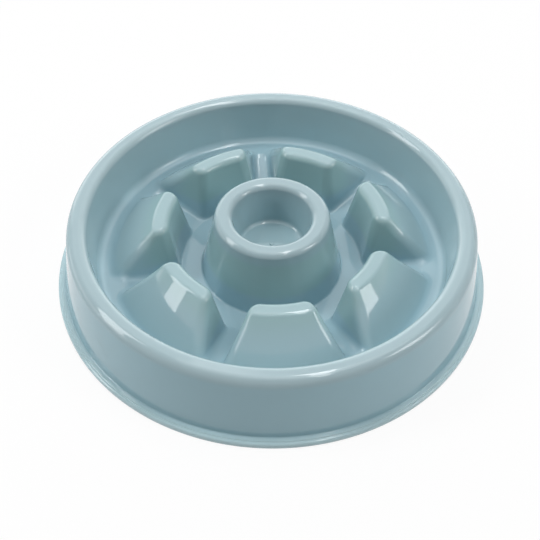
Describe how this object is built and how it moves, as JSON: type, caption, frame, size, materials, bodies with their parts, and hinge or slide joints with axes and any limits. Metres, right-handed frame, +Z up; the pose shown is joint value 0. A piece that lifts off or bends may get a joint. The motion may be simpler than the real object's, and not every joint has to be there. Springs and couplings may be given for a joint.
{
  "type": "slow feeder bowl",
  "caption": "Round slow feeder bowl in grey-blue plastic: raised ridges stand in a ring round a hollow middle tower, on small rubber feet.",
  "frame": {"origin": "middle of the bowl at table level, under the feet", "axes": "+Z up out of the bowl, -Y through the middle of the front ridge, +X to its right"},
  "size_m": [0.28, 0.28, 0.048],
  "materials": {
    "shell_plastic": "gloss",
    "foot_rubber": "matte"
  },
  "bodies": {
    "root": {"bowl_shell": "shell_plastic", "foot_1": "foot_rubber", "foot_2": "foot_rubber", "foot_3": "foot_rubber", "foot_4": "foot_rubber", "foot_5": "foot_rubber", "foot_6": "foot_rubber", "foot_7": "foot_rubber"}
  },
  "joints": []
}
